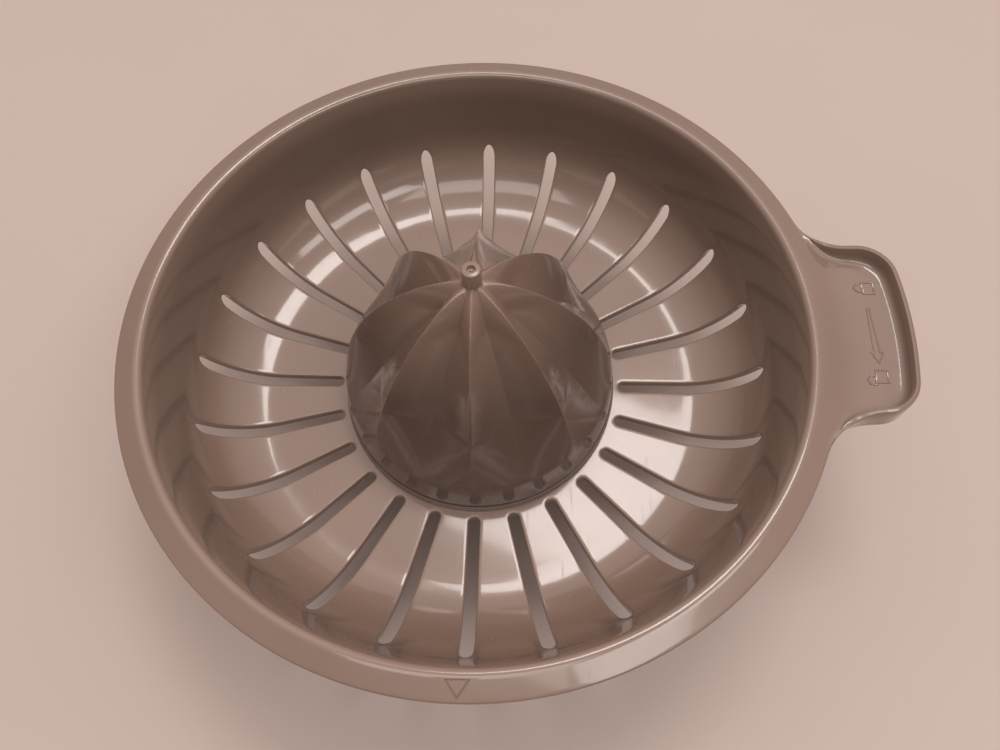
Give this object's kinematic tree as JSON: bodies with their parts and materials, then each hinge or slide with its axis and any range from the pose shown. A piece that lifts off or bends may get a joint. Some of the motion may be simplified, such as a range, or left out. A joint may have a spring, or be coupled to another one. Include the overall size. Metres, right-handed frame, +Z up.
{
  "type": "citrus press attachment",
  "caption": "Slotted juice sieve bowl with a twist-lock tab, a planetary reduction gear under its floor and a fluted lift-off reamer cone.",
  "frame": {"origin": "centre of the mouth of the drive socket, on the drive axis, 1 mm above the foot of the gearbox cup", "axes": "+Z up along the drive axis, +X from the axis to the lock tab, +Y completes the right-handed frame"},
  "size_m": [0.198, 0.18, 0.0853],
  "materials": {
    "smoked_plastic": "glossy smoked translucent styrene-acrylonitrile",
    "cone_plastic": "glossy smoked translucent styrene-acrylonitrile, thicker and darker",
    "gearbox_plastic": "satin moulded polypropylene",
    "acetal": "satin white acetal",
    "bush_bronze": "sintered bronze",
    "steel": "turned stainless steel",
    "seal_rubber": "matte nitrile rubber"
  },
  "bodies": {
    "sieve": {"sieve_bowl": "smoked_plastic", "gearbox_cup": "gearbox_plastic", "ring_gear": "acetal", "gearbox_gasket": "seal_rubber", "cover_screws": "steel", "input_bush": "bush_bronze", "lower_bush": "bush_bronze", "upper_bush": "bush_bronze", "shaft_seal": "seal_rubber"},
    "output": {"planet_carrier": "acetal", "carrier_plate": "acetal", "carrier_screws": "steel", "planet_pins": "steel", "output_shaft": "steel", "lower_thrust_washer": "steel", "upper_thrust_washer": "steel", "retaining_ring": "steel"},
    "input": {"sun_gear": "acetal"},
    "planet_1": {"planet_gear_1": "acetal"},
    "planet_2": {"planet_gear_2": "acetal"},
    "planet_3": {"planet_gear_3": "acetal"},
    "reamer": {"reamer_cone": "cone_plastic"}
  },
  "joints": [
    {"name": "output_spin", "type": "hinge", "parent": "sieve", "child": "output", "pos_m": [0, 0, 0], "axis": [0, 0, 1], "continuous": true},
    {"name": "input_spin", "type": "hinge", "parent": "sieve", "child": "input", "pos_m": [0, 0, 0], "axis": [0, 0, 1], "continuous": true},
    {"name": "planet_1_spin", "type": "hinge", "parent": "output", "child": "planet_1", "pos_m": [0, 0.0165, 0], "axis": [0, 0, 1], "continuous": true},
    {"name": "planet_2_spin", "type": "hinge", "parent": "output", "child": "planet_2", "pos_m": [-0.01429, -0.00825, 0], "axis": [0, 0, 1], "continuous": true},
    {"name": "planet_3_spin", "type": "hinge", "parent": "output", "child": "planet_3", "pos_m": [0.01429, -0.00825, 0], "axis": [0, 0, 1], "continuous": true},
    {"name": "reamer_lift", "type": "slide", "parent": "output", "child": "reamer", "axis": [0, 0, 1], "range_m": [0, 0.07]}
  ],
  "couplings": [
    {"joint": "input_spin", "follows": "output_spin", "ratio": 5},
    {"joint": "planet_1_spin", "follows": "output_spin", "ratio": -2.6667},
    {"joint": "planet_2_spin", "follows": "output_spin", "ratio": -2.6667},
    {"joint": "planet_3_spin", "follows": "output_spin", "ratio": -2.6667}
  ]
}
